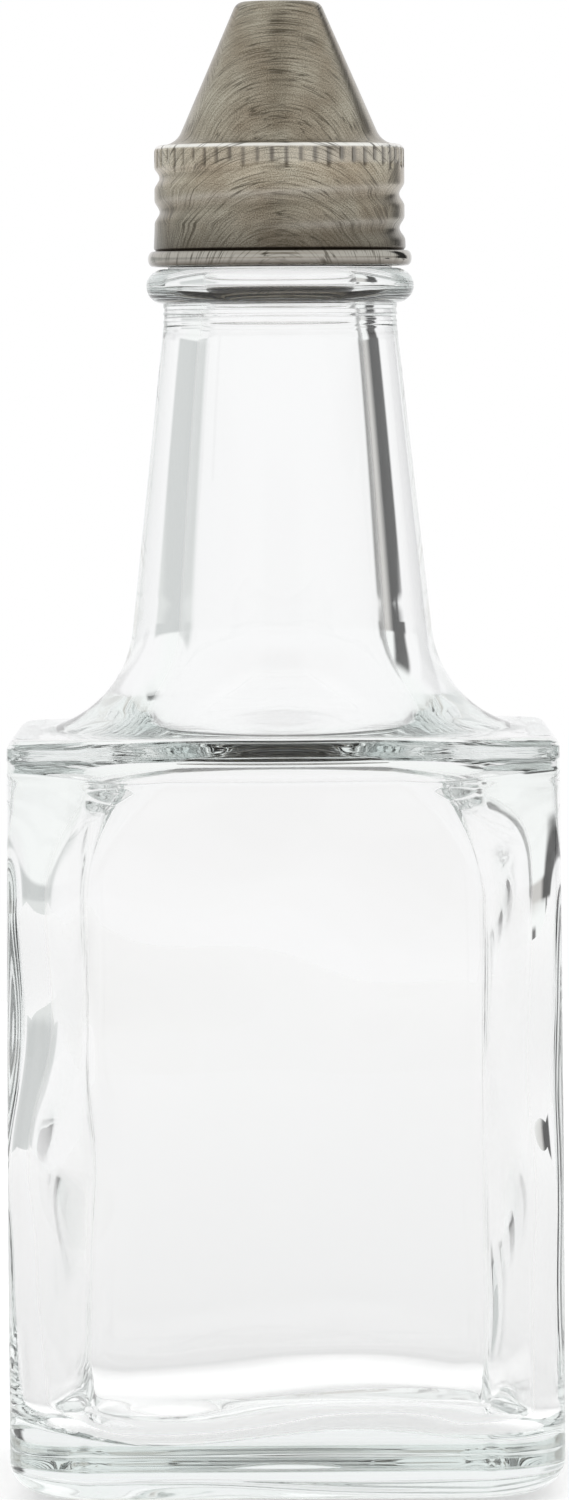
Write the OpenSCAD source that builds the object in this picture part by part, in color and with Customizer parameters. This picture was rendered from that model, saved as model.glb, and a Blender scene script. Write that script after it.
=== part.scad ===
// Square glass bottle for oil or vinegar, with a screwed-on steel pouring cap.
// Millimetres, +Z up, origin at the centre of the base where the bottle stands.

/* [Body] */
// Width of the square body across its flats
body_w = 58.6; // [54:0.1:70]
// Height of the shoulder above the table
body_h = 80.2; // [65:0.1:110]
// Radius of the four upright edges, seen from above
corner_r = 8; // [5:0.5:12]
// Radius of the edge between the shoulder and the walls
shoulder_r = 1.4; // [1:0.1:4]
// How much narrower each wall stands at the shoulder, from the draft of the mould
draft = 0.25; // [0:0.05:0.8]
// Height of the heel, where the walls turn under the base
heel_h = 3.9; // [1.5:0.1:6]
// How far the heel turns in under the base
heel_w = 5.4; // [3:0.1:6.5]
// Thickness of the glass in the middle of each wall
wall_t = 3; // [2.2:0.1:5]
// Thickness of the glass in the floor, at the standing rim
floor_t = 5; // [4:0.1:9]
// Thickness of the glass in the shoulder
roof_t = 2.4; // [2:0.1:6]
// Radius inside, where the walls meet the floor
floor_r = 6; // [3:0.5:9]
// Radius inside, where the walls meet the shoulder
roof_r = 5; // [3:0.5:8]
// How round the upright corners of the inside become under the roof
roof_corner_r = 14; // [8:0.5:18]
// Height over which those corners widen
roof_corner_h = 11; // [6:0.5:20]
// Diameter of the hollow pushed up into the base
push_up_d = 42; // [30:0.5:46]
// Height of the hollow pushed up into the base
push_up_h = 1.8; // [0.8:0.1:2.6]

/* [Neck] */
// Height from the shoulder to the middle of the bead
neck_h = 47.4; // [35:0.1:70]
// Outside diameter of the neck just under the bead
neck_d = 25; // [24:0.1:26]
// Length of the straight collar under the bead
collar_h = 4; // [3:0.1:8]
// How much the radius of the neck grows in each mm below the collar
neck_taper = 0.109; // [0.05:0.001:0.14]
// Radius of the flare where the neck runs out over the shoulder
flare_r = 11.9; // [6:0.1:12.5]
// Inside diameter of the mouth and the upper neck
bore_d = 15.8; // [12:0.1:18]
// Inside diameter of the neck at the start of its inner flare
bore_foot_d = 21.2; // [18:0.1:23]
// Radius of the inner flare, from the neck into the body
inner_flare_r = 14; // [10:0.5:16]

/* [Threaded top of the glass] */
// Height from the middle of the bead to the rim
finish_h = 13.7; // [12:0.1:18]
// Outside diameter of the glass between the threads
finish_d = 24; // [23:0.1:24.4]
// Outside diameter over the glass thread
thread_d = 25.6; // [25.2:0.1:26]
// Rise of the thread in one turn
thread_pitch = 3.65; // [3.2:0.05:4.2]
// Length of the glass thread in turns
thread_turns = 1.15; // [0.9:0.05:1.4]
// Depth of the thread's upper end below the rim
thread_drop = 2; // [1.6:0.1:3]
// Radius of the rounded edges of the rim
rim_r = 0.8; // [0.3:0.1:1.2]
// Outside diameter of the bead under the cap
bead_d = 28.7; // [27:0.1:31]
// Thickness of the bead
bead_t = 3.7; // [2.4:0.1:5]

/* [Cap] */
// Thickness of the steel sheet
sheet_t = 0.4; // [0.3:0.05:0.6]
// Height of the spout cone above the flange
cone_h = 15.3; // [8:0.1:25]
// Diameter of the cone where its side would meet the flange
cone_base_d = 22.2; // [20:0.1:22.6]
// Diameter of the cone where its side would meet the tip
tip_d = 8.9; // [7:0.1:12]
// Diameter of the pouring hole
hole_d = 4; // [2:0.1:5]
// Radius of the edge of the tip
tip_edge_r = 1.2; // [0.7:0.1:1.8]
// Radius between the cone and the flange
cone_fillet_r = 2.4; // [1:0.1:2.6]
// Radius of the edge between the flange and the skirt
flange_edge_r = 0.75; // [0.65:0.05:0.9]
// Number of flutes in the finger grip
flute_count = 54; // [30:1:60]
// Height of the flutes
flute_h = 1.5; // [0.8:0.1:1.8]
// Depth of the flutes at their upper end
flute_depth = 0.24; // [0.1:0.02:0.28]
// Length of the rolled thread in turns
roll_turns = 1.95; // [1.25:0.05:2.1]
// Height of one rolled groove from edge to edge
roll_w = 2.6; // [2:0.1:3]
// How much wider the skirt gets just above its curled edge, on each side
skirt_flare = 0.1; // [0:0.05:0.5]
// Height over which the skirt widens
skirt_flare_h = 3; // [1.5:0.1:5]
// Thickness of the curled lower edge, from its inner to its outer side
curl_t = 1.05; // [1.05:0.05:2.2]
// Height of the curled lower edge
curl_h = 1.65; // [1.5:0.05:2.6]

/* [Washer] */
// Thickness of the sealing washer
washer_t = 1; // [0.6:0.1:2]
// Hole in the sealing washer
washer_hole_d = 17.2; // [13:0.1:19]

/* [Fits] */
// Gap between the crest of the glass thread and the cap
crest_gap = 0.2; // [0.1:0.05:0.4]
// Gap between the rolled groove and the glass between the threads
root_gap = 0.45; // [0.3:0.05:0.6]
// Gap between the washer's edge and the rounded corner inside the cap
washer_gap = 0.1; // [0.05:0.05:0.4]
// Gap between the cap's curled edge and the bead
skirt_gap = 0.25; // [0.15:0.05:1]

/* [Hidden] */
$fn = 96;

// Steps in each rounded edge and in each corner of the lofted body
edge_steps = 5;
corner_steps = 8;
// Steps in the long flares and in a full turn of the threads
flare_steps = 14;
turn_steps = 72;
// How far two solids of one piece run into each other, so that they fuse
lap = 0.4;
// How much thinner the threaded band is than the spun parts that hold its ends
band_inset = 0.03;

half_w = body_w / 2;
draft_z = body_h / 2;
bead_z = body_h + neck_h;
rim_z = bead_z + finish_h;
flange_under_z = rim_z + washer_t;
flange_z = flange_under_z + sheet_t;
tip_z = flange_z + cone_h;

// The neck: its straight collar, its taper, and the centre of its flare
neck_angle = atan(neck_taper);
taper_z = bead_z - collar_h;
flare_sink = 0.12;
flat_half_w = half_w - draft - shoulder_r;
flare_limit = (flat_half_w - neck_d / 2 - neck_taper * (taper_z - body_h)) * 1.05;
flare = min(flare_r, flare_limit);
flare_z = body_h - flare_sink + flare;
function neck_radius(z) = neck_d / 2 + neck_taper * (taper_z - z);
flare_x = neck_radius(flare_z) + flare / cos(neck_angle);

// The cavity, and the inner flare that opens the neck into it
cavity_half_w = half_w - wall_t;
cavity_corner_r = corner_r - 1;
roof_z = body_h - roof_t;
inner_flare_z = roof_z + inner_flare_r - 2.3;
inner_flare_x = bore_foot_d / 2 + inner_flare_r;

// The thread: angles are counted anticlockwise from +X, seen from above
thread_end_a = 370;
thread_start_a = thread_end_a - 360 * thread_turns;
roll_start_a = thread_start_a - 46;
roll_end_a = roll_start_a + 360 * roll_turns;
function thread_z(a) = rim_z - thread_drop + thread_pitch * (a - thread_end_a) / 360;
function roll_z(a) = thread_z(a) - thread_pitch / 2;

// The cap's skirt, from the gaps round the glass thread
skirt_in_r = thread_d / 2 + crest_gap;
skirt_r = skirt_in_r + sheet_t;
washer_r = skirt_in_r - (flange_edge_r - sheet_t) - washer_gap;
roll_depth = skirt_in_r - finish_d / 2 - root_gap;
skirt_z = bead_z + bead_t / 2 + skirt_gap;
skirt_end_r = skirt_r + skirt_flare;
curl_x = skirt_end_r + curl_t / 2 - sheet_t;
band_bottom_z = skirt_z + curl_h;
band_top_z = flange_z - flange_edge_r - flute_h;

// Points along an arc from angle a0 to a1
function arc(centre, r, a0, a1, steps) =
    [for (i = [0 : steps]) let (a = a0 + (a1 - a0) * i / steps) centre + r * [cos(a), sin(a)]];

function unit(v) = v / norm(v);
function cross2(u, v) = u[0] * v[1] - u[1] * v[0];
function reversed(list) = [for (i = [len(list) - 1 : -1 : 0]) list[i]];

// A path with its inner points rounded to the given radii
function rounded(points, radii, steps) = [
    points[0],
    for (i = [1 : len(points) - 2])
        let (
            back = unit(points[i - 1] - points[i]),
            on = unit(points[i + 1] - points[i]),
            half = acos(back * on) / 2,
            r = radii[i - 1],
            centre = points[i] + unit(back + on) * r / sin(half),
            side = sign(cross2(back, on)),
            a0 = atan2(-side * back[0], side * back[1]),
            turn = side * (180 - 2 * half)
        )
        each arc(centre, r, a0, a0 - turn, steps),
    points[len(points) - 1]
];

// The same path moved to its right by t, corner by corner
function moved(points, t) = [
    for (i = [0 : len(points) - 1])
        let (
            before = i == 0 ? points[1] - points[0] : points[i] - points[i - 1],
            after = i == len(points) - 1 ? before : points[i + 1] - points[i],
            n0 = [unit(before)[1], -unit(before)[0]],
            n1 = [unit(after)[1], -unit(after)[0]]
        )
        points[i] + t * (n0 + n1) / (1 + n0 * n1)
];

// One level of the body: a square of half width h with corners of radius r
function level(h, r, z) = [
    for (c = [0 : 3], i = [0 : corner_steps])
        let (
            a = 90 * (c + i / corner_steps),
            x = (c == 0 || c == 3 ? 1 : -1) * (h - r),
            y = (c < 2 ? 1 : -1) * (h - r)
        )
        [x + r * cos(a), y + r * sin(a), z]
];

// A closed solid through rings of points, each with as many points as the others
module loft(rings) {
    count = len(rings[0]);
    top = len(rings) - 1;
    polyhedron(
        points = [for (ring = rings) each ring],
        faces = [
            [for (i = [0 : count - 1]) i],
            [for (i = [count - 1 : -1 : 0]) top * count + i],
            for (k = [0 : top - 1], i = [0 : count - 1])
                let (j = (i + 1) % count)
                each [
                    [k * count + i, (k + 1) * count + i, (k + 1) * count + j],
                    [k * count + i, (k + 1) * count + j, k * count + j]
                ]
        ],
        convexity = 4
    );
}

// The outside of the body: heel, walls and rounded shoulder
module body_block() {
    heel_corner_r = corner_r - heel_w * 0.6;
    heel = [
        for (i = [0 : edge_steps])
            let (a = 90 * i / edge_steps, turned = 1 - sin(a))
            level(
                half_w - heel_w * turned,
                corner_r + (heel_corner_r - corner_r) * turned,
                heel_h * (1 - cos(a))
            )
    ];
    shoulder = [
        for (i = [0 : edge_steps])
            let (a = 90 * i / edge_steps, inset = draft + shoulder_r * (1 - cos(a)))
            level(half_w - inset, corner_r - inset, body_h - shoulder_r * (1 - sin(a)))
    ];
    loft(concat(heel, [level(half_w, corner_r, draft_z)], shoulder));
}

// The inside of the body, as the blown glass leaves it, rounder than the outside
module body_cavity() {
    floor_edge = [
        for (i = [0 : edge_steps])
            let (a = 90 * i / edge_steps, inset = floor_r * (1 - sin(a)))
            level(cavity_half_w - inset, cavity_corner_r + inset / 2, floor_t + floor_r * (1 - cos(a)))
    ];
    roof_edge = [
        for (i = [0 : edge_steps])
            let (a = 90 * i / edge_steps, inset = roof_r * (1 - cos(a)))
            level(cavity_half_w - inset, roof_corner_r + inset / 2, roof_z - roof_r * (1 - sin(a)))
    ];
    widening = [
        for (i = [0 : edge_steps - 1])
            let (t = i / edge_steps)
            level(
                cavity_half_w,
                cavity_corner_r + (roof_corner_r - cavity_corner_r) * t * t,
                roof_z - roof_r - roof_corner_h * (1 - t)
            )
    ];
    loft(concat(floor_edge, widening, roof_edge));
}

// The outside of the neck and the threaded top, up to the rim
module neck_outside() {
    bead_r = bead_t / 2;
    bead_x = bead_d / 2 - bead_r;
    finish_r = finish_d / 2;
    bead_top_a = acos((finish_r - bead_x) / bead_r);
    rotate_extrude()
        polygon(concat(
            [[0, body_h - roof_t / 2]],
            reversed(concat(
                [[neck_d / 2, taper_z]],
                arc([flare_x, flare_z], flare, 180 + neck_angle, 264, flare_steps),
                [[flare_x + flare * cos(264), body_h - roof_t / 2]]
            )),
            arc([bead_x, bead_z], bead_r, -90, bead_top_a, 2 * edge_steps),
            arc([finish_r - rim_r, rim_z - rim_r], rim_r, 0, 90, edge_steps),
            [[0, rim_z]]
        ));
}

// The mouth and the neck inside, opening into the cavity through a flare
module neck_bore() {
    bore_r = bore_d / 2;
    straight_z = taper_z;
    rotate_extrude()
        polygon(concat(
            [[0, roof_z - roof_r / 2]],
            [[inner_flare_x - inner_flare_r * cos(60), roof_z - roof_r / 2]],
            arc([inner_flare_x, inner_flare_z], inner_flare_r, 240, 180, flare_steps),
            [[bore_r, straight_z]],
            arc([bore_r + rim_r, rim_z - rim_r], rim_r, 180, 90, edge_steps),
            [[bore_r + rim_r, rim_z + lap], [0, rim_z + lap]]
        ));
}

// The glass thread: a low ridge that winds round the top and fades at both ends
module glass_thread() {
    fade_a = 30;
    steps = round(turn_steps * thread_turns);
    root_r = finish_d / 2 - lap;
    root_half_w = 1;
    crest_half_w = 0.45;
    loft([
        for (i = [0 : steps])
            let (
                a = thread_start_a + (thread_end_a - thread_start_a) * i / steps,
                from_end = min(a - thread_start_a, thread_end_a - a),
                rise = min(1, 0.05 + from_end / fade_a),
                crest_r = finish_d / 2 - lap / 4 + rise * (thread_d - finish_d + lap / 2) / 2,
                z = thread_z(a)
            )
            [
                for (p = [
                    [root_r, -root_half_w], [crest_r, -crest_half_w],
                    [crest_r, crest_half_w], [root_r, root_half_w]
                ])
                    [p[0] * cos(a), p[0] * sin(a), z + p[1]]
            ]
    ]);
}

// The hollow pushed up into the base, so that the bottle stands on a rim
module push_up() {
    r = (pow(push_up_d / 2, 2) + pow(push_up_h, 2)) / (2 * push_up_h);
    translate([0, 0, push_up_h - r])
        sphere(r);
}

module glass_bottle() {
    color([0.82, 0.9, 0.88, 0.4])
        difference() {
            union() {
                body_block();
                neck_outside();
                glass_thread();
            }
            union() {
                body_cavity();
                neck_bore();
            }
            push_up();
        }
}

// The spun top of the cap: tip, cone, flange, and the upper end of the skirt
module cap_top() {
    outside = [
        [hole_d / 2, tip_z], [tip_d / 2, tip_z],
        [cone_base_d / 2, flange_z], [skirt_r, flange_z], [skirt_r, band_top_z]
    ];
    fillet = min(cone_fillet_r, (skirt_r - cone_base_d / 2 - flange_edge_r) * 1.5);
    outer_radii = [tip_edge_r, fillet, flange_edge_r];
    inner_radii = [tip_edge_r - sheet_t, fillet + sheet_t, flange_edge_r - sheet_t];
    rotate_extrude()
        polygon(concat(
            rounded(outside, outer_radii, edge_steps),
            reversed(rounded(moved(outside, sheet_t), inner_radii, edge_steps))
        ));
}

// One flute of the finger grip: a round groove that runs out at its lower end
module flute() {
    flute_r = 0.5;
    lean = atan(flute_depth / flute_h);
    translate([skirt_r + flute_r, 0, band_top_z])
        rotate([0, -lean, 0])
            cylinder(r = flute_r, h = flute_h + 2 * flange_edge_r, $fn = 24);
}

// How deep the rolled thread is at a point of the skirt
function fade(t) = t <= 0 ? 0 : t >= 1 ? 1 : t * t * (3 - 2 * t);
function groove(a, z) =
    let (off = abs(z - roll_z(a)) / (roll_w / 2), from_end = min(a - roll_start_a, roll_end_a - a))
    off >= 1 || from_end <= 0 ? 0 : pow(cos(90 * off), 2) * fade(from_end / 40);
function skirt_dent(a, z) =
    roll_depth * fade((z - band_bottom_z) / 0.6) * fade((band_top_z - z) / 0.6)
    * min(1, groove(a - 360, z) + groove(a, z) + groove(a + 360, z));

// The band of the skirt that carries the rolled thread
module threaded_band() {
    rows = round((band_top_z - band_bottom_z) / 0.42);
    outer_r = skirt_r - band_inset;
    inner_r = skirt_in_r + band_inset;
    low = band_bottom_z - lap;
    high = band_top_z + lap;
    function widened(z) = skirt_flare * fade((band_bottom_z + skirt_flare_h - z) / skirt_flare_h);
    function row_z(k) = k < 0 ? low : k > rows ? high
        : band_bottom_z + (band_top_z - band_bottom_z) * k / rows;
    function skin(r, k) = [
        for (i = [0 : turn_steps - 1])
            let (a = 360 * i / turn_steps, z = row_z(k), q = r + widened(z) - skirt_dent(a, z))
            [q * cos(a), q * sin(a), z]
    ];
    tube([for (k = [-1 : rows + 1]) skin(outer_r, k)], [for (k = [-1 : rows + 1]) skin(inner_r, k)]);
}

// A tube between an outer and an inner stack of rings
module tube(outer, inner) {
    count = len(outer[0]);
    rings = concat(outer, reversed(inner));
    total = len(rings);
    polyhedron(
        points = [for (ring = rings) each ring],
        faces = [
            for (k = [0 : total - 1], i = [0 : count - 1])
                let (j = (i + 1) % count, up = (k + 1) % total)
                each [
                    [k * count + i, up * count + i, up * count + j],
                    [k * count + i, up * count + j, k * count + j]
                ]
        ],
        convexity = 4
    );
}

// The section of the curl: an upright slot with round ends
module curl_section(r) {
    for (z = [skirt_z + curl_t / 2, skirt_z + curl_h - curl_t / 2])
        translate([curl_x, z])
            circle(r = r);
    translate([curl_x - r, skirt_z + curl_t / 2])
        square([2 * r, curl_h - curl_t]);
}

// The lower edge of the skirt, curled outward until it almost meets the skirt again
module curled_edge() {
    lip_gap = 0.15;
    rotate_extrude() {
        difference() {
            curl_section(curl_t / 2);
            curl_section(curl_t / 2 - sheet_t);
            translate([skirt_end_r, skirt_z + curl_h / 2])
                square([lip_gap, curl_h]);
        }
        translate([skirt_end_r - sheet_t, skirt_z + curl_t / 2])
            square([sheet_t, curl_h - curl_t / 2 + lap]);
    }
}

module pouring_cap() {
    color([0.6, 0.57, 0.52]) {
        difference() {
            cap_top();
            for (i = [0 : flute_count - 1])
                rotate([0, 0, 360 * i / flute_count])
                    flute();
        }
        threaded_band();
        curled_edge();
    }
}

// The flat ring that seals the rim against the cap's flange
module sealing_washer() {
    color([0.93, 0.93, 0.9])
        translate([0, 0, rim_z])
            difference() {
                cylinder(r = washer_r, h = washer_t);
                translate([0, 0, -lap])
                    cylinder(d = washer_hole_d, h = washer_t + 2 * lap);
            }
}

glass_bottle();
pouring_cap();
sealing_washer();
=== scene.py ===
import math

import bpy
import numpy as np
from mathutils import Matrix, Vector


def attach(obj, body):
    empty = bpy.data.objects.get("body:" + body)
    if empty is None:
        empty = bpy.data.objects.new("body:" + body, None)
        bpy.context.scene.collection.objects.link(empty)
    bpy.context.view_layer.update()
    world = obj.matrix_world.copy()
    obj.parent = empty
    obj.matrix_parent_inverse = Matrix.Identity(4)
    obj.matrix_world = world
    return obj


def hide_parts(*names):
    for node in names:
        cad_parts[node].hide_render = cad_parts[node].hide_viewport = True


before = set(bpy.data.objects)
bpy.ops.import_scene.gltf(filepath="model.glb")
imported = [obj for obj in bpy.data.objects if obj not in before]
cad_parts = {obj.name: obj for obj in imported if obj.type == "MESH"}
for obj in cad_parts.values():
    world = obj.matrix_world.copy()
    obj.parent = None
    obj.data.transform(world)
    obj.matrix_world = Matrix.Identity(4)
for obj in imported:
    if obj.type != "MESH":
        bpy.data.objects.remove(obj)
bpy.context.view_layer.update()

# The bottle is one piece of clear soda-lime glass, blown in a two-part mould: a square body on a
# pushed-up base, a flared neck, a bead that stops the cap, and a threaded mouth. The mould shapes
# the outside truly, and the air leaves the inside rounder, thicker in places and a little wavy.
MM = 0.001

# Outside of the body, the neck and the threaded mouth, in mm and degrees
HALF_W, BODY_H = 29.3, 80.2
CORNER_R, SHOULDER_R, DRAFT = 8.0, 1.4, 0.25
HEEL_W, HEEL_H = 5.4, 3.9
PUSH_R, PUSH_H = 21.0, 1.8
FLARE_X, FLARE_Z, FLARE_R = 27.92, 91.98, 11.9
NECK_R, NECK_LEAN, TAPER_Z = 12.5, 6.22, 123.6
COLLAR_WAVE, COLLAR_WAVES_PER_MM = 0.07, 7.5
BEAD_R, BEAD_Z = 1.85, 127.6
FINISH_R, RIM_R, RIM_Z, RIM_STEPS = 12.0, 0.8, 141.3, 7
PITCH, THREAD_RISE, THREAD_DROP = 3.65, 0.8, 2
THREAD_CREST, THREAD_SIDE = 0.35, 0.7
THREAD_FROM, THREAD_TO, THREAD_TAPER = -44.0, 370.0, 30

# Inside, in mm
WALL_T, FLOOR_T, ROOF_Z = 3.0, 6.4, 78.2
FLOOR_R, FLOOR_MIDDLE_R, ROOF_R, ROOF_EDGE_TURN = 4.0, 8, 3.2, 80
INNER_CORNER_R, ROOF_CORNER_R, ROOF_CORNER_H = 7.0, 14.0, 12.0
BORE_R, BORE_TAPER_Z = 7.9, 131.0
IN_FLARE_X, IN_FLARE_Z, IN_FLARE_R = 25.05, 92.2, 14.0

# Long waves that the air leaves inside: radians a mm along x, y and z, and where each starts
WAVES = (
    (0.11, 0.17, 0.13, 0.4), (-0.19, 0.09, 0.16, 2.1), (0.07, -0.21, 0.24, 4.0),
    (0.26, 0.13, -0.08, 1.2), (0.05, 0.3, 0.31, 5.3), (-0.33, 0.21, 0.1, 3.3))

# Thick and thin places of the left (-1) and right (1) walls: side, depth, height and reach in mm
WALL_PLACES = ((-1, 0.45, 48, 9), (-1, 0.35, 68, 7), (-1, -0.3, 35, 7), (1, -0.3, 66, 9))

# Points along each flat and each corner of a ring
FLAT_STEPS, CORNER_STEPS = 30, 46


def smooth(t):
    """0 below 0, 1 above 1, and a soft run between."""
    t = np.clip(t, 0, 1)
    return t * t * (3 - 2 * t)


def bell(distance, width):
    """1 at no distance, dying away over the width."""
    return np.exp(-(distance / width) ** 2)


def square_ring(half, corner):
    """Points round a square with rounded corners, seen from above."""
    run = half - corner
    t = np.linspace(0, 1, FLAT_STEPS, endpoint=False)
    a = np.radians(np.linspace(0, 90, CORNER_STEPS, endpoint=False))
    side = np.stack([np.full_like(t, half), run * t], 1)
    bend = np.stack([run + corner * np.cos(a), run + corner * np.sin(a)], 1)
    back = np.stack([run * (1 - t), np.full_like(t, half)], 1)
    quarter = np.concatenate([side, bend, back])
    turns = [np.array([[c, s], [-s, c]]) for c, s in ((1, 0), (0, 1), (-1, 0), (0, -1))]
    return np.concatenate([quarter @ m for m in turns])


RING_DIRECTION = np.arctan2(*square_ring(HALF_W, CORNER_R).T[::-1])


def round_ring(radius):
    """Points round a circle, in the same directions as the body's."""
    return radius * np.stack([np.cos(RING_DIRECTION), np.sin(RING_DIRECTION)], 1)


def at_height(ring, z):
    """A flat ring set at a height, or at a height for each of its points."""
    return np.column_stack([ring, np.broadcast_to(z, len(ring))])


def arc(cx, cz, r, a0, a1, steps):
    """Radius and height along an arc of the profile."""
    return [(cx + r * math.cos(a), cz + r * math.sin(a))
            for a in np.radians(np.linspace(a0, a1, steps + 1))]


def thread_height(a):
    """Height of the middle of the glass thread at an angle in degrees."""
    return RIM_Z - THREAD_DROP + PITCH * (a - THREAD_TO) / 360


def thread_bump(z):
    """How far the glass thread stands out at each point of a ring."""
    bump = np.zeros(len(RING_DIRECTION))
    for turn in (-1, 0, 1, 2):
        a = np.degrees(RING_DIRECTION) + 360 * turn
        from_end = np.minimum(a - THREAD_FROM, THREAD_TO - a)
        rise = smooth(from_end / THREAD_TAPER)
        off = np.abs(z - thread_height(a))
        side = 1 - smooth((off - THREAD_CREST) / THREAD_SIDE)
        bump = np.maximum(bump, THREAD_RISE * rise * side)
    return bump


def base_and_walls():
    """Rings from the middle of the pushed-up base to the top of the shoulder's edge."""
    rings = []
    sphere_r = (PUSH_R ** 2 + PUSH_H ** 2) / (2 * PUSH_H)
    for r in np.linspace(1.5, PUSH_R, 12):
        z = PUSH_H - sphere_r + math.sqrt(sphere_r ** 2 - r * r)
        rings.append(at_height(round_ring(r), z))
    heel_corner = CORNER_R - 0.6 * HEEL_W
    foot = square_ring(HALF_W - HEEL_W, heel_corner)
    for s in (0.33, 0.67):
        rings.append(at_height(round_ring(PUSH_R) * (1 - s) + foot * s, 0))
    for a in np.radians(np.linspace(0, 90, 14)):
        turned = 1 - math.sin(a)
        ring = square_ring(HALF_W - HEEL_W * turned, CORNER_R + (heel_corner - CORNER_R) * turned)
        rings.append(at_height(ring, HEEL_H * (1 - math.cos(a))))
    for z in np.linspace(HEEL_H, BODY_H - SHOULDER_R, 90)[1:-1]:
        lean = DRAFT * max(0, z - BODY_H / 2) / (BODY_H / 2 - SHOULDER_R)
        rings.append(at_height(square_ring(HALF_W - lean, CORNER_R - lean), z))
    for a in np.radians(np.linspace(0, 90, 12)):
        inset = DRAFT + SHOULDER_R * (1 - math.cos(a))
        z = BODY_H - SHOULDER_R * (1 - math.sin(a))
        rings.append(at_height(square_ring(HALF_W - inset, CORNER_R - inset), z))
    return rings


def shoulder_and_neck(top):
    """Rings from the flat of the shoulder up the flare, the neck and the bead."""
    rings = []
    flare = arc(FLARE_X, FLARE_Z, FLARE_R, 250, 180 + NECK_LEAN, 26)
    for s in np.linspace(0, 1, 12)[1:-1]:
        flat = top * (1 - s) + round_ring(flare[0][0]) * s
        off = np.clip(FLARE_X - np.hypot(*flat.T), 0, FLARE_R)
        flare_z = FLARE_Z - np.sqrt(FLARE_R ** 2 - off ** 2)
        rings.append(at_height(flat, np.maximum(BODY_H, flare_z)))
    slope = math.tan(math.radians(NECK_LEAN))
    neck = [(NECK_R + (TAPER_Z - z) * slope, z)
            for z in np.linspace(flare[-1][1], TAPER_Z, 18)[1:]]
    collar = [(NECK_R + COLLAR_WAVE * math.sin((z - TAPER_Z) * COLLAR_WAVES_PER_MM), z)
              for z in np.linspace(TAPER_Z, BEAD_Z - BEAD_R, 12)[1:-1]]
    collar.append((NECK_R, BEAD_Z - BEAD_R))
    bead_end = math.degrees(math.acos((FINISH_R - NECK_R) / BEAD_R))
    bead = arc(NECK_R, BEAD_Z, BEAD_R, -84, bead_end, 18)
    return rings + [at_height(round_ring(r), z) for r, z in flare + neck + collar + bead]


def threaded_mouth(start_z):
    """Rings from the bead up the threaded wall and over the outer half of the rim."""
    rings = []
    for z in np.linspace(start_z, RIM_Z - RIM_R, 46)[1:]:
        rings.append(at_height(round_ring(FINISH_R + thread_bump(z)[:, None]), z))
    for r, z in arc(FINISH_R - RIM_R, RIM_Z - RIM_R, RIM_R, 10, 90, 6):
        rings.append(at_height(round_ring(r), z))
    return rings


def bore():
    """Rings down the mouth and the neck, to where the inner flare reaches the roof."""
    low_r = IN_FLARE_X - IN_FLARE_R
    path = arc(BORE_R + RIM_R, RIM_Z - RIM_R, RIM_R, 90, 180, RIM_STEPS)
    path += [(BORE_R, z) for z in np.linspace(RIM_Z - RIM_R, BORE_TAPER_Z, 9)[1:]]
    for t in np.linspace(1, 0, 34)[1:-1]:
        r = low_r - (low_r - BORE_R) * (0.83 * t + 0.17 * t ** 4)
        path.append((r, IN_FLARE_Z + (BORE_TAPER_Z - IN_FLARE_Z) * t))
    path += arc(IN_FLARE_X, IN_FLARE_Z, IN_FLARE_R, 183.5, 240, 18)
    return [at_height(round_ring(r), z) for r, z in path]


def oil_space(neck_foot):
    """Rings from the roof down the inner walls, to the middle of the floor."""
    half = HALF_W - WALL_T
    rings = []

    def lifted(flat, z):
        """A ring of the roof, which rises into the flare of the neck near the middle."""
        off = np.clip(IN_FLARE_X - np.hypot(*flat.T), 0, IN_FLARE_R)
        return at_height(flat, z + IN_FLARE_R - np.sqrt(IN_FLARE_R ** 2 - off ** 2))

    def roof_edge(a):
        """The rounded edge of the roof at an angle, and how far it lies below the roof."""
        inset = ROOF_R * (1 - math.cos(a))
        return square_ring(half - inset, ROOF_CORNER_R + inset / 2), ROOF_R * (1 - math.sin(a))

    first, drop = roof_edge(math.radians(ROOF_EDGE_TURN))
    for s in np.linspace(0, 1, 8)[1:-1]:
        rings.append(lifted(neck_foot * (1 - s) + first * s, ROOF_Z - drop * s * s))
    for a in np.radians(np.linspace(ROOF_EDGE_TURN, 0, 16)):
        flat, drop = roof_edge(a)
        rings.append(lifted(flat, ROOF_Z - drop))
    for z in np.linspace(ROOF_Z - ROOF_R, FLOOR_T + FLOOR_R, 130)[1:-1]:
        widening = max(0, 1 - (ROOF_Z - ROOF_R - z) / ROOF_CORNER_H) ** 2
        corner = INNER_CORNER_R + (ROOF_CORNER_R - INNER_CORNER_R) * widening
        rings.append(at_height(square_ring(half, corner), z))
    for a in np.radians(np.linspace(90, 0, 14)):
        inset = FLOOR_R * (1 - math.sin(a))
        z = FLOOR_T + FLOOR_R * (1 - math.cos(a))
        rings.append(at_height(square_ring(half - inset, INNER_CORNER_R + inset / 2), z))
    floor_edge = rings[-1][:, :2]
    for s in np.linspace(0, 1, 16)[1:-1]:
        ring = (floor_edge * (1 - s) + round_ring(FLOOR_MIDDLE_R) * s) * (1 - 0.8 * s)
        rings.append(at_height(ring, FLOOR_T))
    return rings


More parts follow.
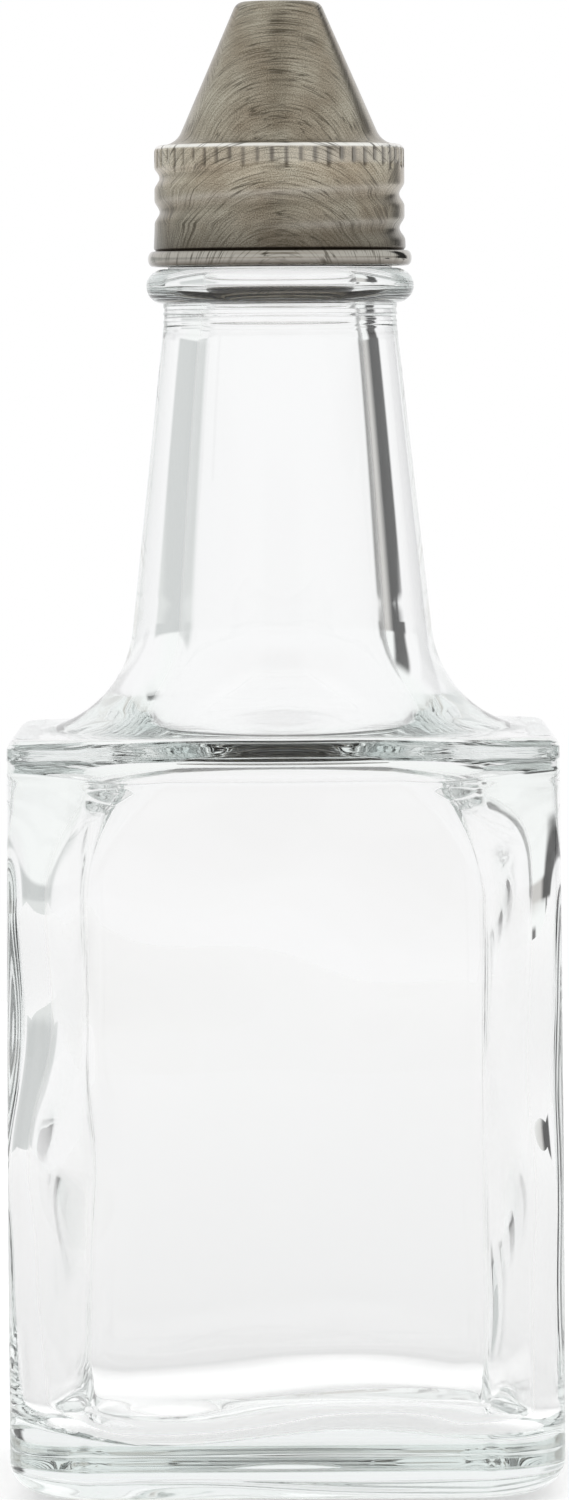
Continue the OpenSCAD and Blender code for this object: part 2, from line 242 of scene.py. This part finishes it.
def blown(points, normals):
    """The inside as the air leaves it: long soft waves, and a few thick places in the walls."""
    x, y, z = points.T
    waves = np.zeros(len(x))
    for k, (fx, fy, fz, phase) in enumerate(WAVES):
        waves += np.sin(fx * x + fy * y + fz * z + phase) / (1 + 0.25 * k)
    near_edge = smooth((np.abs(x) - 15) / 10)
    below_roof = smooth((ROOF_Z + 2 - z) / 10)
    amount = (0.04 + 0.05 * near_edge) * below_roof * waves
    for side, depth, height, reach in WALL_PLACES:
        amount += depth * smooth((side * x - 20.5) / 5) * bell(z - height, reach)
    front_lens = bell(x + 23, 4) * bell(z - 36.5, 7.5) * smooth((-y - 18) / 6)
    floor_waves = 0.6 * np.sin(0.16 * x + 0.2) + 0.35 * np.sin(0.27 * y + 0.12 * x + 1.0)
    amount += 0.7 * front_lens + smooth((FLOOR_T + 4 - z) / 3) * floor_waves
    return points + normals * amount[:, None]


def ring_normals(grid):
    """Directions square to the skin at each point of its rings."""
    along = np.gradient(grid, axis=0)
    around = np.roll(grid, -1, 1) - np.roll(grid, 1, 1)
    normals = np.cross(around, along)
    return normals / np.maximum(np.linalg.norm(normals, axis=2, keepdims=True), 1e-9)


def skin_object(name, rings, closed_at_ends):
    """A closed skin through rings that all have as many points, capped or joined end to end."""
    grid = np.array(rings)
    count, around = grid.shape[:2]
    points = grid.reshape(-1, 3)
    i, j = np.meshgrid(np.arange(count - 1), np.arange(around), indexing="ij")
    n = (j + 1) % around
    quads = np.stack([
        i * around + j, i * around + n, (i + 1) * around + n, (i + 1) * around + j], -1)
    faces = [tuple(f) for f in quads.reshape(-1, 4)]
    last = (count - 1) * around
    if closed_at_ends:
        points = np.concatenate([points, [grid[0].mean(0), grid[-1].mean(0)]])
        start, end = len(points) - 2, len(points) - 1
        faces += [(start, (k + 1) % around, k) for k in range(around)]
        faces += [(end, last + k, last + (k + 1) % around) for k in range(around)]
    else:
        faces += [(last + k, last + (k + 1) % around, (k + 1) % around, k) for k in range(around)]
    mesh = bpy.data.meshes.new(name)
    mesh.from_pydata((points * MM).tolist(), [], faces)
    mesh.validate()
    mesh.update()
    mesh.shade_smooth()
    made = bpy.data.objects.new(name, mesh)
    bpy.context.collection.objects.link(made)
    return made


outer = base_and_walls()
outer += shoulder_and_neck(outer[-1][:, :2])
outer += threaded_mouth(outer[-1][0, 2])
inner = bore()
inner += oil_space(inner[-1][:, :2])
glass_rings = np.array(outer + inner)

# The air shapes all of the inside below the rounded rim
blown_from = len(outer) + RIM_STEPS + 1
glass_rings[blown_from:] = blown(
    glass_rings[blown_from:].reshape(-1, 3),
    ring_normals(glass_rings)[blown_from:].reshape(-1, 3)).reshape(glass_rings[blown_from:].shape)
glass = skin_object("bottle_glass", glass_rings, True)


def feed(node, inputs):
    """Gives inputs of a node their values, or links them where a socket is given."""
    for name, value in inputs.items():
        socket = node.inputs[name]
        if isinstance(value, bpy.types.NodeSocket):
            node.id_data.links.new(value, socket)
        elif socket.type == "RGBA":
            socket.default_value = (*value, 1)
        else:
            socket.default_value = value


def add_node(tree, kind, inputs=None, **settings):
    """A new node with its settings and inputs."""
    node = tree.nodes.new(kind)
    for name, value in settings.items():
        setattr(node, name, value)
    feed(node, inputs or {})
    return node


def new_finish(name):
    """A material, its node tree and its surface shader."""
    finish = bpy.data.materials.new(name)
    finish.use_nodes = True
    return finish, finish.node_tree, finish.node_tree.nodes["Principled BSDF"]


def noise(tree, place, scale, detail=2):
    """Cloudy noise at a place. Without a place it fills the piece's own box."""
    texture = add_node(tree, "ShaderNodeTexNoise", {"Scale": scale, "Detail": detail})
    if place is not None:
        feed(texture, {"Vector": place})
    return texture.outputs["Fac"]


def bumped(tree, height, strength, distance):
    """A fine relief of the surface."""
    return add_node(tree, "ShaderNodeBump", {
        "Height": height, "Strength": strength, "Distance": distance}).outputs["Normal"]


PURE_WHITE, BLACK = (1, 1, 1), (0, 0, 0)
GLASS_TINT, GLASS_DENSITY, GLASS_IOR = (0.71, 0.785, 0.77), 6, 1.5
RIPPLE_FINENESS, RIPPLE_DEPTH = 60, 0.00006
glass_finish, glass_tree, glass_surface = new_finish("clear_glass")
inside_glass = add_node(glass_tree, "ShaderNodeVolumeAbsorption", {
    "Color": GLASS_TINT, "Density": GLASS_DENSITY}).outputs["Volume"]
feed(glass_tree.nodes["Material Output"], {"Volume": inside_glass})
glass_place = add_node(glass_tree, "ShaderNodeTexCoord").outputs["Object"]
ripple = noise(glass_tree, glass_place, RIPPLE_FINENESS, 1)
feed(glass_surface, {
    "Base Color": PURE_WHITE,
    "Transmission Weight": 1,
    "IOR": GLASS_IOR,
    "Roughness": 0,
    "Normal": bumped(glass_tree, ripple, 0.2, RIPPLE_DEPTH)})
glass.data.materials.append(glass_finish)
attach(glass, "bottle")
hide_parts("glass_bottle")

# The washer is a flat ring punched from soft white plastic. It lies on the glass rim and is
# gripped against it by the cap's flange, so that oil doesn't creep into the thread.
WASHER_IN, WASHER_OUT, WASHER_T = 8.6, 12.55, 1.0
WASHER_EDGE = 0.12
CREAM, PALE_CREAM = (0.8, 0.8, 0.76), (0.88, 0.88, 0.85)
MOTTLE_FINENESS, MOTTLE_DEPTH = 900, 0.00005


def washer_profile():
    """Radius and height round the washer's section, with softened edges."""
    e = WASHER_EDGE
    low, high = RIM_Z + e, RIM_Z + WASHER_T - e
    path = arc(WASHER_OUT - e, low, e, -90, 0, 4) + arc(WASHER_OUT - e, high, e, 0, 90, 4)
    return path + arc(WASHER_IN + e, high, e, 90, 180, 4) + arc(WASHER_IN + e, low, e, 180, 270, 4)


def ramped(tree, factor, stops):
    """Colours by a factor, from pairs of a position and a colour."""
    ramp = add_node(tree, "ShaderNodeValToRGB", {"Fac": factor})
    elements = ramp.color_ramp.elements
    for k, (position, colour) in enumerate(stops):
        if k == 0:
            stop = elements[0]
        elif k == len(stops) - 1:
            stop = elements[-1]
        else:
            stop = elements.new(position)
        stop.position = position
        stop.color = (*colour, 1)
    return ramp.outputs["Color"]


washer_rings = [at_height(round_ring(r), z) for r, z in washer_profile()]
washer = skin_object("washer_ring", washer_rings, False)
washer_finish, washer_tree, washer_surface = new_finish("washer_plastic")
mottle = noise(washer_tree, None, MOTTLE_FINENESS)
feed(washer_surface, {
    "Base Color": ramped(washer_tree, mottle, ((0, CREAM), (1, PALE_CREAM))),
    "Roughness": 0.5,
    "Subsurface Weight": 0.15,
    "Subsurface Radius": (0.0006, 0.0006, 0.0005),
    "Normal": bumped(washer_tree, mottle, 0.3, MOTTLE_DEPTH)})
washer.data.materials.append(washer_finish)
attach(washer, "washer")
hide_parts("sealing_washer")

# The cap is drawn from one sheet of stainless steel: a blunt cone with the pouring hole, a flange
# with a fluted grip under its edge, a skirt with the thread rolled in, and a curled lower edge.
# It is brushed, and screws down on the washer.
SHEET = 0.4
TIP_Z, FLANGE_Z, SKIRT_Z = 158.0, 142.7, 129.7
HOLE_R, TIP_R, CONE_R, SKIRT_R = 2.0, 4.45, 11.1, 13.4
HOLE_EDGE, TIP_EDGE_R, CONE_FILLET_R, FLANGE_EDGE_R = 0.06, 1.2, 2.3, 0.75
FLUTES, FLUTE_DEPTH, FLUTE_LOW_Z, SKIRT_TOP_Z = 54, 0.26, 140.2, 141.8
ROLL_DEPTH, ROLL_W, ROLL_TOP_Z, ROLL_TAPER = 0.55, 2.6, 140.45, 40
ROLL_FROM, ROLL_TO = -90.0, 612.0
SKIRT_FLARE, SKIRT_FLARE_H = 0.1, 3
CURL_T, CURL_H = 1.05, 1.65
CONE_LINING, LINING_RADII = 0.26, (0.35, 2.7, 0.8)
CURL_TOP_Z = SKIRT_Z + CURL_H
CAP_STEPS = FLUTES * 10
CAP_DIRECTION = np.linspace(0, 360, CAP_STEPS, endpoint=False)


def rounded(corners, radii, steps):
    """A path through corners, the middle ones rounded."""
    path = [corners[0]]
    for k, r in enumerate(radii, 1):
        p, q, n = (np.array(corners[m], float) for m in (k - 1, k, k + 1))
        to_p = (p - q) / np.linalg.norm(p - q)
        to_n = (n - q) / np.linalg.norm(n - q)
        half = math.acos(np.clip(to_p @ to_n, -1, 1)) / 2
        middle = q + (to_p + to_n) / np.linalg.norm(to_p + to_n) * r / math.sin(half)
        start = q + to_p * r / math.tan(half) - middle
        end = q + to_n * r / math.tan(half) - middle
        a0, a1 = math.atan2(start[1], start[0]), math.atan2(end[1], end[0])
        turn = (a1 - a0 + math.pi) % (2 * math.pi) - math.pi
        path += [tuple(middle + r * np.array([math.cos(a0 + turn * t), math.sin(a0 + turn * t)]))
                 for t in np.linspace(0, 1, steps + 1)]
    return path + [corners[-1]]


def rolled(z):
    """How deep the rolled thread is, all round, at a height of the skirt."""
    dent = np.zeros(CAP_STEPS)
    for turn in (-1, 0, 1):
        a = CAP_DIRECTION + 360 * turn
        off = np.abs(z - (thread_height(a) - PITCH / 2)) / (ROLL_W / 2)
        from_end = np.minimum(a - ROLL_FROM, ROLL_TO - a)
        groove = np.where(off < 1, np.cos(np.pi / 2 * np.minimum(off, 1)) ** 2, 0)
        dent += groove * smooth(from_end / ROLL_TAPER)
    band = smooth((z - CURL_TOP_Z) / 0.6) * smooth((ROLL_TOP_Z - z) / 0.6)
    return ROLL_DEPTH * band * np.minimum(dent, 1)


def beside_roll(z, above, width):
    """How near a height of the skirt is, all round, to a line along the rolled thread."""
    near = np.zeros(CAP_STEPS)
    for turn in (-1, 0, 1):
        a = CAP_DIRECTION + 360 * turn
        from_end = np.minimum(a - ROLL_FROM, ROLL_TO - a)
        line = thread_height(a) - PITCH / 2 + above
        near += bell(z - line, width) * smooth((from_end + 20) / ROLL_TAPER)
    return near * smooth((z - CURL_TOP_Z - 0.5) / 0.6) * smooth((ROLL_TOP_Z + 0.15 - z) / 0.6)


def fluted(z):
    """How deep the finger grip is, all round. No two flutes are pressed or worn quite alike."""
    across = CAP_DIRECTION * FLUTES / 360 + 0.5
    which = np.floor(across)
    pressed = 0.5 + 0.5 * np.cos(np.radians(CAP_DIRECTION))
    pressed += 0.25 * np.sin(which * 2.7) * np.sin(which * 1.3)
    off = np.abs(across % 1 - 0.5) / (0.2 + 0.09 * pressed)
    groove = np.where(off < 1, np.cos(np.pi / 2 * np.minimum(off, 1)) ** 1.6, 0)
    groove = groove * np.clip(0.5 + 0.5 * pressed, 0, 1)
    low = FLUTE_LOW_Z + 0.4 * np.sin(which * 4.1)
    return FLUTE_DEPTH * groove * smooth((z - low) / 0.6) * smooth((FLANGE_Z - 0.3 - z) / 0.3)


def cap_ring(r, z, rolls=False, flutes=False):
    """A ring of the cap, with the dents of the rolled thread and the flutes where they reach."""
    reach = np.full(CAP_STEPS, float(r))
    if rolls:
        flare = SKIRT_FLARE * smooth((CURL_TOP_Z + SKIRT_FLARE_H - z) / SKIRT_FLARE_H)
        reach = reach - rolled(z) + flare
    if flutes:
        reach = reach - fluted(z)
    a = np.radians(CAP_DIRECTION)
    return np.column_stack([reach * np.cos(a), reach * np.sin(a), np.full(CAP_STEPS, z)])


def cap_sheet():
    """Rings over the outside of the sheet, round its curled edge and back up its inside."""
    crown = rounded(
        [(HOLE_R + HOLE_EDGE, TIP_Z), (TIP_R, TIP_Z), (CONE_R, FLANGE_Z), (SKIRT_R, FLANGE_Z),
         (SKIRT_R, SKIRT_TOP_Z + 0.1)],
        [TIP_EDGE_R, CONE_FILLET_R, FLANGE_EDGE_R], 8)
    tip, foot = crown[:10], crown[10:]
    side = [tuple(np.array(tip[-1]) + (np.array(foot[0]) - tip[-1]) * t)
            for t in np.linspace(0, 1, 22)[1:-1]]
    rings = [cap_ring(r, z, True, True) for r, z in tip + side + foot]
    rings += [cap_ring(SKIRT_R, z, True, True)
              for z in np.linspace(SKIRT_TOP_Z, CURL_TOP_Z + 0.35, 62)]
    edge_r = SKIRT_R + SKIRT_FLARE
    curl_x = edge_r + CURL_T / 2 - SHEET
    curl = [(edge_r - 0.04, CURL_TOP_Z + 0.22), (edge_r - 0.16, CURL_TOP_Z + 0.12),
            (edge_r - 0.22, CURL_TOP_Z - 0.05), (edge_r - 0.2, CURL_TOP_Z - 0.45),
            (edge_r - 0.04, CURL_TOP_Z - 0.45), (edge_r, CURL_TOP_Z - 0.12)]
    curl += [(curl_x + CURL_T / 2 * x, (CURL_TOP_Z + SKIRT_Z + CURL_H * y) / 2)
             for x, y in arc(0, 0, 1, 84, -180, 26)]
    rings += [cap_ring(r, z) for r, z in curl]
    rings += [cap_ring(SKIRT_R - SHEET, z, True) for z in np.linspace(CURL_TOP_Z, SKIRT_TOP_Z, 46)]
    lining = rounded(
        [(SKIRT_R - SHEET, SKIRT_TOP_Z + 0.05), (SKIRT_R - SHEET, FLANGE_Z - SHEET),
         (CONE_R - CONE_LINING, FLANGE_Z - SHEET), (TIP_R - CONE_LINING, TIP_Z - SHEET),
         (HOLE_R + HOLE_EDGE, TIP_Z - SHEET)],
        LINING_RADII, 6)
    rings += [cap_ring(r, z) for r, z in lining]
    rings += [cap_ring(HOLE_R, z) for z in (TIP_Z - SHEET + HOLE_EDGE, TIP_Z - HOLE_EDGE)]
    return rings[::-1]


cap_rings = cap_sheet()
cap = skin_object("cap_shell", cap_rings, False)

# The sheet is brushed in three fields round the cap, each unrolled from its own middle
BRUSH_UNIT = 10 * MM
corner_vertex = np.empty(len(cap.data.loops), dtype=np.int32)
cap.data.loops.foreach_get("vertex_index", corner_vertex)
ring_of, step_of = corner_vertex // CAP_STEPS, corner_vertex % CAP_STEPS
field_angle = np.radians((CAP_DIRECTION[step_of] + 90 + 60) % 120 - 60)
ring_reach = np.array([ring[:, :2].max() for ring in cap_rings])
ring_height = np.array([ring[0, 2] for ring in cap_rings])
unrolled = np.stack([field_angle * ring_reach[ring_of], ring_height[ring_of] - SKIRT_Z], 1)
brush_map = cap.data.uv_layers.new(name="brushing")
brush_map.data.foreach_set("uv", (unrolled * BRUSH_UNIT).astype(np.float32).ravel())

# Painted shade darkens the flutes, the cone's foot, the crevice over the curl, the foot under it
# and the groove of the rolled thread.
# Painted highlights brighten the flange's edge, the ridges of the grip, most on one side, and a
# line above the thread's groove.
GRIP_LOW_Z, GRIP_TOP_Z = 140.3, 142.5
painted_shade = np.zeros((len(cap_rings), CAP_STEPS))
painted_highlight = np.zeros((len(cap_rings), CAP_STEPS))
highlit_side = smooth(0.5 + 0.6 * np.cos(np.radians(CAP_DIRECTION)))
for k, ring in enumerate(cap_rings):
    z = ring[0, 2]
    reach = np.hypot(*ring[:, :2].T)
    # Painted shade: the flutes, the cone's foot, over and under the curl, and along the rolled
    # thread
    painted_shade[k] += 1.25 * fluted(z) / FLUTE_DEPTH * (reach > SKIRT_R - 0.37)
    painted_shade[k] += bell(reach[0] - 12.2, 0.25) * (z > FLANGE_Z - 0.1)
    painted_shade[k] += 1.2 * bell(z - CURL_TOP_Z - 0.05, 0.16)
    painted_shade[k] += 0.75 * bell(z - SKIRT_Z - 0.15, 0.32)
    painted_shade[k] += 0.24 * beside_roll(z, -0.15, 0.38)
    # Painted highlights: the flange's edge, the grip's ridges, stronger on one side, and a line
    # above the rolled thread
    painted_highlight[k] += bell(reach[0] - 13.15, 0.35) * smooth((z - FLANGE_Z + 0.5) / 0.2)
    grip_highlight = (0.04 + 0.2 * highlit_side) * smooth((z - GRIP_LOW_Z) / 0.6)
    painted_highlight[k] += grip_highlight * smooth((GRIP_TOP_Z - z) / 0.2)
    painted_highlight[k] += 0.13 * beside_roll(z, 1.0, 0.4)
for layer_name, share in (("painted_shade", painted_shade), ("painted_highlight", painted_highlight)):
    layer = cap.data.attributes.new(layer_name, "FLOAT", "POINT")
    layer.data.foreach_set("value", np.clip(share, 0, 1).astype(np.float32).ravel())

STEEL_DARK, STEEL_PALE = (0.18, 0.16, 0.13), (0.44, 0.41, 0.36)
TARNISHED, CLEAN = (0.72, 0.66, 0.58), (1.0, 0.99, 0.93)
# Curled steel, and the pale steel of painted highlights
CURL_STEEL, PAINTED_HIGHLIGHT_STEEL = (0.43, 0.405, 0.365), (0.95, 0.93, 0.89)
# The brown of painted shade, and the brown of the scratches
PAINTED_SHADE_BROWN, SCRATCH_BROWN = (0.09, 0.07, 0.05), (0.07, 0.06, 0.045)
# Painted shading: how much the cone, the skirt's foot and the skirt's top are lightened or darkened
CONE_PAINTED_LIGHT, SKIRT_FOOT_PAINTED_SHADE, SKIRT_TOP_PAINTED_LIGHT = 1.22, 0.55, 1.75
CURL_ROUGHNESS = 0.06
SKIRT_ARC_Z, CONE_ARC_Z = SKIRT_Z - 2.5, FLANGE_Z - 3.5
ARC_STRETCH, ARC_FINENESS, SCRATCH_FINENESS = 0.006, 420, 160
GRAIN_FINENESS, GRAIN_SHARE, GRAIN_DEPTH = 800, 0.68, 0.00002
TARNISH_FINENESS, PATCH_FINENESS = 14, 30


def calculated(tree, operation, a, b):
    """The result of one operation on two values."""
    return add_node(tree, "ShaderNodeMath", {0: a, 1: b}, operation=operation).outputs[0]


def ranged(tree, value, low, high, to_low=0, to_high=1, kind="LINEAR"):
    """A value stretched from one range to another, and held at its ends."""
    return add_node(tree, "ShaderNodeMapRange", {
        "Value": value, "From Min": low, "From Max": high, "To Min": to_low, "To Max": to_high},
        interpolation_type=kind).outputs["Result"]


def mixed(tree, kind, a, b, factor, blend="MIX"):
    """A value, vector or colour that turns from one into another as the factor grows."""
    first, output = {"FLOAT": (2, 0), "VECTOR": (4, 1), "RGBA": (6, 2)}[kind]
    mix = add_node(tree, "ShaderNodeMix", data_type=kind, blend_type=blend)
    feed(mix, {0: factor, first: a, first + 1: b})
    return mix.outputs[output]


def brush_height(z):
    """A height of the cap on the unrolled sheet."""
    return (z - SKIRT_Z) * BRUSH_UNIT


def brushed_about(tree, on_sheet, z, layer):
    """Places drawn out along arcs about a point of each field, as a turning brush leaves them."""
    middle = (0, brush_height(z), 0)
    shift = add_node(tree, "ShaderNodeVectorMath", {0: on_sheet, 1: middle},
                     operation="SUBTRACT").outputs["Vector"]
    away = add_node(tree, "ShaderNodeVectorMath", {0: shift}, operation="LENGTH").outputs["Value"]
    parts = add_node(tree, "ShaderNodeSeparateXYZ", {"Vector": shift}).outputs
    turn = calculated(tree, "ARCTAN2", parts["X"], parts["Y"])
    along = calculated(tree, "MULTIPLY", turn, ARC_STRETCH)
    return add_node(tree, "ShaderNodeCombineXYZ", {
        "X": away, "Y": along, "Z": layer}).outputs["Vector"]


steel_finish, steel_tree, steel_surface = new_finish("brushed_steel")
on_sheet = add_node(steel_tree, "ShaderNodeUVMap", uv_map="brushing").outputs["UV"]
up_sheet = add_node(steel_tree, "ShaderNodeSeparateXYZ", {"Vector": on_sheet}).outputs["Y"]
on_cone = calculated(steel_tree, "GREATER_THAN", up_sheet, brush_height(FLANGE_Z + 0.2))
brush_way = mixed(
    steel_tree, "VECTOR",
    brushed_about(steel_tree, on_sheet, SKIRT_ARC_Z, 0),
    brushed_about(steel_tree, on_sheet, CONE_ARC_Z, 3), on_cone)
grain = mixed(
    steel_tree, "FLOAT",
    noise(steel_tree, brush_way, ARC_FINENESS),
    noise(steel_tree, on_sheet, GRAIN_FINENESS, 3), GRAIN_SHARE)

# Brushed grain under tarnish, with painted shading: lighter on the cone and up the skirt, darker
# towards the skirt's foot
tarnish = noise(steel_tree, on_sheet, TARNISH_FINENESS, 3)
metal = mixed(
    steel_tree, "RGBA",
    ramped(steel_tree, grain, ((0.39, STEEL_DARK), (0.61, STEEL_PALE))),
    ramped(steel_tree, tarnish, ((0.36, TARNISHED), (0.62, CLEAN))), 1, "MULTIPLY")
skirt_painted_shading = ranged(steel_tree, up_sheet, brush_height(CURL_TOP_Z), brush_height(140),
                    SKIRT_FOOT_PAINTED_SHADE, SKIRT_TOP_PAINTED_LIGHT)
painted_shading = mixed(steel_tree, "FLOAT", skirt_painted_shading, CONE_PAINTED_LIGHT, on_cone)
metal = add_node(steel_tree, "ShaderNodeVectorMath", {0: metal, "Scale": painted_shading},
                 operation="SCALE").outputs["Vector"]
on_curl = ranged(steel_tree, up_sheet, brush_height(CURL_TOP_Z), brush_height(CURL_TOP_Z - 0.1))
metal = mixed(steel_tree, "RGBA", metal, CURL_STEEL, on_curl)

# Painted shade, painted highlights and thin scratches over it
for layer_name, colour in (("painted_shade", PAINTED_SHADE_BROWN), ("painted_highlight", PAINTED_HIGHLIGHT_STEEL)):
    cover = add_node(steel_tree, "ShaderNodeAttribute", attribute_name=layer_name).outputs["Fac"]
    metal = mixed(steel_tree, "RGBA", metal, colour, cover)
scratch = ramped(steel_tree, noise(steel_tree, brush_way, SCRATCH_FINENESS),
                 ((0.465, BLACK), (0.5, PURE_WHITE), (0.535, BLACK)))
patches = noise(steel_tree, on_sheet, PATCH_FINENESS)
scratched_patches = ranged(steel_tree, patches, 0.36, 0.56, 0.1, 0.85)
scratch_cover = calculated(steel_tree, "MULTIPLY", scratch, scratched_patches)
metal = mixed(steel_tree, "RGBA", metal, SCRATCH_BROWN, scratch_cover)

brushed_roughness = ranged(steel_tree, grain, 0, 1, 0.27, 0.38)
over_curl = ranged(steel_tree, up_sheet, brush_height(CURL_TOP_Z - 0.05),
                   brush_height(CURL_TOP_Z + 0.1))
round_cap = add_node(steel_tree, "ShaderNodeTangent", direction_type="RADIAL",
                     axis="Z").outputs["Tangent"]
feed(steel_surface, {
    "Base Color": metal,
    "Metallic": 1,
    "Roughness": mixed(steel_tree, "FLOAT", CURL_ROUGHNESS, brushed_roughness, over_curl),
    "Anisotropic": 0.85,
    "Anisotropic Rotation": 0.25,
    "Tangent": round_cap,
    "Normal": bumped(steel_tree, grain, 0.22, GRAIN_DEPTH)})
cap.data.materials.append(steel_finish)
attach(cap, "cap")
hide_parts("pouring_cap")

# The floor is a plain white table top, just under the foot of the bottle. It is white to the
# camera, and glows a little where it is seen in or through the glass: far off, where it meets the
# backdrop, and close under the foot.
FLOOR_HALF, FLOOR_Z = 0.7, -0.0002
FAR_OFF, FAR_GLOW = 0.8, 0.105
FOOT_REACH, FOOT_FADE, FOOT_GLOW = 0.038, 0.06, 0.5
CAMERA_GLOW = 0.35
floor_corners = [(x, y, FLOOR_Z) for x, y in (
    (-FLOOR_HALF, -FLOOR_HALF), (FLOOR_HALF, -FLOOR_HALF),
    (FLOOR_HALF, FLOOR_HALF), (-FLOOR_HALF, FLOOR_HALF))]
floor_mesh = bpy.data.meshes.new("studio_floor")
floor_mesh.from_pydata(floor_corners, [], [(0, 1, 2, 3)])
floor = bpy.data.objects.new("studio_floor", floor_mesh)
bpy.context.collection.objects.link(floor)


def seen_by(tree):
    """Whether a ray comes straight from the camera, and whether it comes by way of a piece."""
    ray = add_node(tree, "ShaderNodeLightPath").outputs
    return ray["Is Camera Ray"], calculated(
        tree, "MAXIMUM", ray["Is Glossy Ray"], ray["Is Transmission Ray"])


floor_finish, floor_tree, floor_surface = new_finish("floor_white")
floor_to_camera, floor_mirrored = seen_by(floor_tree)
floor_place = add_node(floor_tree, "ShaderNodeTexCoord").outputs["Object"]
from_bottle = add_node(floor_tree, "ShaderNodeVectorMath", {0: floor_place},
                       operation="LENGTH").outputs["Value"]
far_glow = ranged(floor_tree, from_bottle, 0, FAR_OFF, 0, FAR_GLOW)
near_glow = ranged(floor_tree, from_bottle, FOOT_REACH, FOOT_FADE, FOOT_GLOW, 0)
both_glows = calculated(floor_tree, "ADD", far_glow, near_glow)
mirrored_glow = calculated(floor_tree, "MULTIPLY", floor_mirrored, both_glows)
camera_glow = calculated(floor_tree, "MULTIPLY", floor_to_camera, CAMERA_GLOW)
feed(floor_surface, {
    "Base Color": (0.9, 0.9, 0.9),
    "Roughness": 0.9,
    "Specular IOR Level": 0.1,
    "Emission Color": PURE_WHITE,
    "Emission Strength": calculated(floor_tree, "ADD", camera_glow, mirrored_glow)})
floor.data.materials.append(floor_finish)

# Round the bottle stands a plain studio: white behind, a dark flag to the right of it, a
# grey-green one to the left, a pale room in front with a darker gap, and soft light from above.
WHITE, PALE = (0.965, 0.965, 0.97), (0.94, 0.96, 0.95)
FRONT, GAP, SIDE = (0.80, 0.79, 0.76), (0.52, 0.50, 0.46), (0.60, 0.59, 0.57)
GREEN, MIST = (0.62, 0.64, 0.635), (0.75, 0.77, 0.76)
SHADOW, LINE, DIM = (0.05, 0.05, 0.05), (0.15, 0.15, 0.15), (0.4, 0.4, 0.4)
DIFFUSE_LIGHT = (0.95, 0.95, 0.95)

studio = bpy.data.worlds.new("studio")
bpy.context.scene.world = studio
studio.use_nodes = True
studio_tree = studio.node_tree
towards = add_node(studio_tree, "ShaderNodeTexCoord").outputs["Generated"]
towards_parts = add_node(studio_tree, "ShaderNodeSeparateXYZ", {"Vector": towards}).outputs
bearing = calculated(studio_tree, "ARCTAN2", towards_parts["X"], towards_parts["Y"])
round_share = ranged(studio_tree, bearing, -math.pi, math.pi)


def surround(*stops):
    """What stands round the bottle, by bearing from the middle of the backdrop in degrees."""
    shares = [((degrees + 180) / 360, colour) for degrees, colour in stops]
    return ramped(studio_tree, round_share, shares)


def topped(walls, higher, low, high):
    """Walls that give way to what is higher, between two heights of a direction."""
    rise = ranged(studio_tree, towards_parts["Z"], low, high, kind="SMOOTHSTEP")
    return mixed(studio_tree, "RGBA", walls, higher, rise)


tent = surround(
    (-180, FRONT), (-115, FRONT), (-100, MIST), (-28, MIST), (-24, WHITE), (30, WHITE), (37, WHITE),
    (38, DIM), (42, DIM), (44, PALE), (66, PALE), (69, LINE), (73, LINE), (75, PALE), (115, FRONT),
    (180, FRONT))
tent_edge = surround(
    (-180, FRONT), (-120, FRONT), (-100, MIST), (-27, MIST), (-22, WHITE), (30, WHITE), (41, WHITE),
    (43, LINE), (45, LINE), (47, PALE), (110, PALE), (140, FRONT), (180, FRONT))
flags = surround(
    (-180, GAP), (-163, GAP), (-159, FRONT), (-140, FRONT), (-122, SIDE), (-110, GREEN),
    (-27, GREEN), (-22, WHITE), (30, WHITE), (34, SHADOW), (52, SHADOW), (60, SIDE), (100, SIDE),
    (140, FRONT), (159, FRONT), (163, GAP), (180, GAP))
over_flags = surround(
    (-180, PALE), (-50, PALE), (-30, WHITE), (32, WHITE), (36, SHADOW), (50, SHADOW), (55, PALE),
    (180, PALE))
overhead = surround(
    (-180, GAP), (-163, GAP), (-159, FRONT), (-140, FRONT), (-100, PALE), (100, PALE), (140, FRONT),
    (159, FRONT), (163, GAP), (180, GAP))
walls = topped(tent, tent_edge, -0.075, -0.066)
walls = topped(walls, flags, -0.064, -0.038)
walls = topped(walls, over_flags, 0.07, 0.12)
walls = topped(walls, overhead, 0.42, 0.55)
walls = topped(walls, PALE, 0.82, 0.9)
to_camera, mirrored = seen_by(studio_tree)
walls = mixed(studio_tree, "RGBA", DIFFUSE_LIGHT, walls, mirrored)
walls = mixed(studio_tree, "RGBA", walls, PURE_WHITE, to_camera)
feed(studio_tree.nodes["Background"], {"Color": walls})

# The camera stands back with a long lens, a little above the middle of the bottle. Light may
# cross many faces of the thick glass before it is given up.
CAMERA_AT, CAMERA_AIM = Vector((0, -0.950, 0.120)), Vector((0.00015, 0, 0.07777))
CAMERA_ROLL, CAMERA_LENS, CAMERA_FILM = -0.00666, 212.3, 36
studio_lens = bpy.data.cameras.new("studio_camera")
studio_lens.sensor_width = CAMERA_FILM
studio_lens.lens = CAMERA_LENS
camera = bpy.data.objects.new("studio_camera", studio_lens)
bpy.context.collection.objects.link(camera)
look = (CAMERA_AIM - CAMERA_AT).to_track_quat("-Z", "Y").to_matrix().to_4x4()
camera.matrix_world = Matrix.Translation(CAMERA_AT) @ look @ Matrix.Rotation(CAMERA_ROLL, 4, "Z")
scene = bpy.context.scene
scene.camera = camera
scene.view_settings.view_transform = "Standard"
scene.cycles.max_bounces = 40
scene.cycles.glossy_bounces = 24
scene.cycles.transmission_bounces = 40
